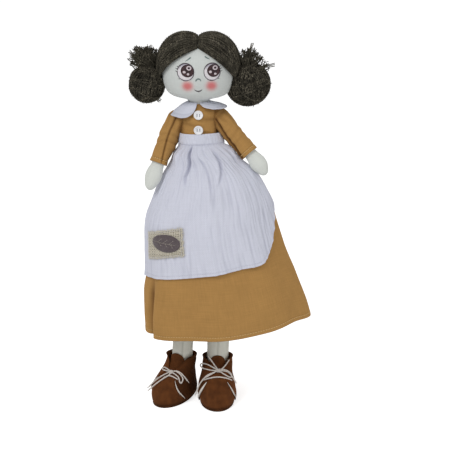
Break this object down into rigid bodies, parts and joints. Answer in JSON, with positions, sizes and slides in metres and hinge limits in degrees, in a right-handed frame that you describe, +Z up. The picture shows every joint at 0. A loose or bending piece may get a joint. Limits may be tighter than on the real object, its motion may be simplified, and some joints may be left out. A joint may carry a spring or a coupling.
{
  "type": "textile doll",
  "caption": "Standing cloth doll with yarn buns, mustard cotton dress, white gauze apron and laced brown suede boots.",
  "frame": {"origin": "on the floor under the middle of the doll's bounding box", "axes": "+Z up from the soles to the crown, -Y towards the viewer the doll faces, +X towards the doll's own left hand"},
  "size_m": [0.1806, 0.1088, 0.3705],
  "materials": {
    "skin_cotton": "matt woven cotton, stuffed",
    "hair_yarn": "twisted dark brown yarn",
    "dress_linen": "matt plain-weave cotton and linen",
    "apron_gauze": "crinkled double gauze",
    "collar_cotton": "matt poplin",
    "boot_suede": "brushed suede",
    "boot_sole": "dark suede",
    "lace_cotton": "twisted cotton thread",
    "patch_burlap": "open jute weave",
    "patch_felt": "wool felt",
    "shirt_button": "glossy shirt button",
    "joint_button": "plain sewing button",
    "joint_thread": "waxed upholstery thread",
    "dowel_wood": "bare birch",
    "insole_board": "plain board"
  },
  "bodies": {
    "torso": {"torso_body": "skin_cotton", "neck_dowel": "dowel_wood", "bodice_front": "dress_linen", "bodice_back": "dress_linen", "skirt": "dress_linen", "button_upper": "shirt_button", "button_lower": "shirt_button", "apron": "apron_gauze", "apron_waistband": "apron_gauze", "apron_bow_knot": "apron_gauze", "apron_bow_loop_right": "apron_gauze", "apron_bow_loop_left": "apron_gauze", "apron_tie_right": "apron_gauze", "apron_tie_left": "apron_gauze", "patch": "patch_burlap", "patch_leaf": "patch_felt", "collar_right": "collar_cotton", "collar_left": "collar_cotton", "shoulder_thread": "joint_thread", "hip_thread": "joint_thread"},
    "head": {"head": "skin_cotton", "hair_right": "hair_yarn", "hair_left": "hair_yarn", "bun_right": "hair_yarn", "bun_left": "hair_yarn", "bun_tuft_right": "hair_yarn", "bun_tuft_left_top": "hair_yarn", "bun_tuft_left_side": "hair_yarn"},
    "arm_right": {"arm_right": "skin_cotton", "sleeve_right": "dress_linen", "shoulder_button_right": "joint_button"},
    "arm_left": {"arm_left": "skin_cotton", "sleeve_left": "dress_linen", "shoulder_button_left": "joint_button"},
    "leg_right": {"leg_right": "skin_cotton", "hip_button_right": "joint_button", "boot_sole_right": "boot_sole", "boot_insole_right": "insole_board", "boot_toe_right": "boot_suede", "boot_heel_right": "boot_suede", "boot_tongue_right": "boot_suede", "boot_lace_right": "lace_cotton"},
    "leg_left": {"leg_left": "skin_cotton", "hip_button_left": "joint_button", "boot_sole_left": "boot_sole", "boot_insole_left": "insole_board", "boot_toe_left": "boot_suede", "boot_heel_left": "boot_suede", "boot_tongue_left": "boot_suede", "boot_lace_left": "lace_cotton"}
  },
  "joints": [
    {"name": "neck_turn", "type": "hinge", "parent": "torso", "child": "head", "pos_m": [-0.02312, 0.00039, 0.307], "axis": [0, 0, 1], "range_deg": [-25, 25]},
    {"name": "shoulder_right", "type": "hinge", "parent": "torso", "child": "arm_right", "pos_m": [-0.02312, 0.00039, 0.288], "axis": [-1, 0, 0], "range_deg": [-6, 60]},
    {"name": "shoulder_left", "type": "hinge", "parent": "torso", "child": "arm_left", "pos_m": [-0.02312, 0.00039, 0.288], "axis": [-1, 0, 0], "range_deg": [-35, 60]},
    {"name": "hip_right", "type": "hinge", "parent": "torso", "child": "leg_right", "pos_m": [-0.02312, 0.00039, 0.2], "axis": [-1, 0, 0], "range_deg": [-12, 12]},
    {"name": "hip_left", "type": "hinge", "parent": "torso", "child": "leg_left", "pos_m": [-0.02312, 0.00039, 0.2], "axis": [-1, 0, 0], "range_deg": [-12, 12]}
  ]
}
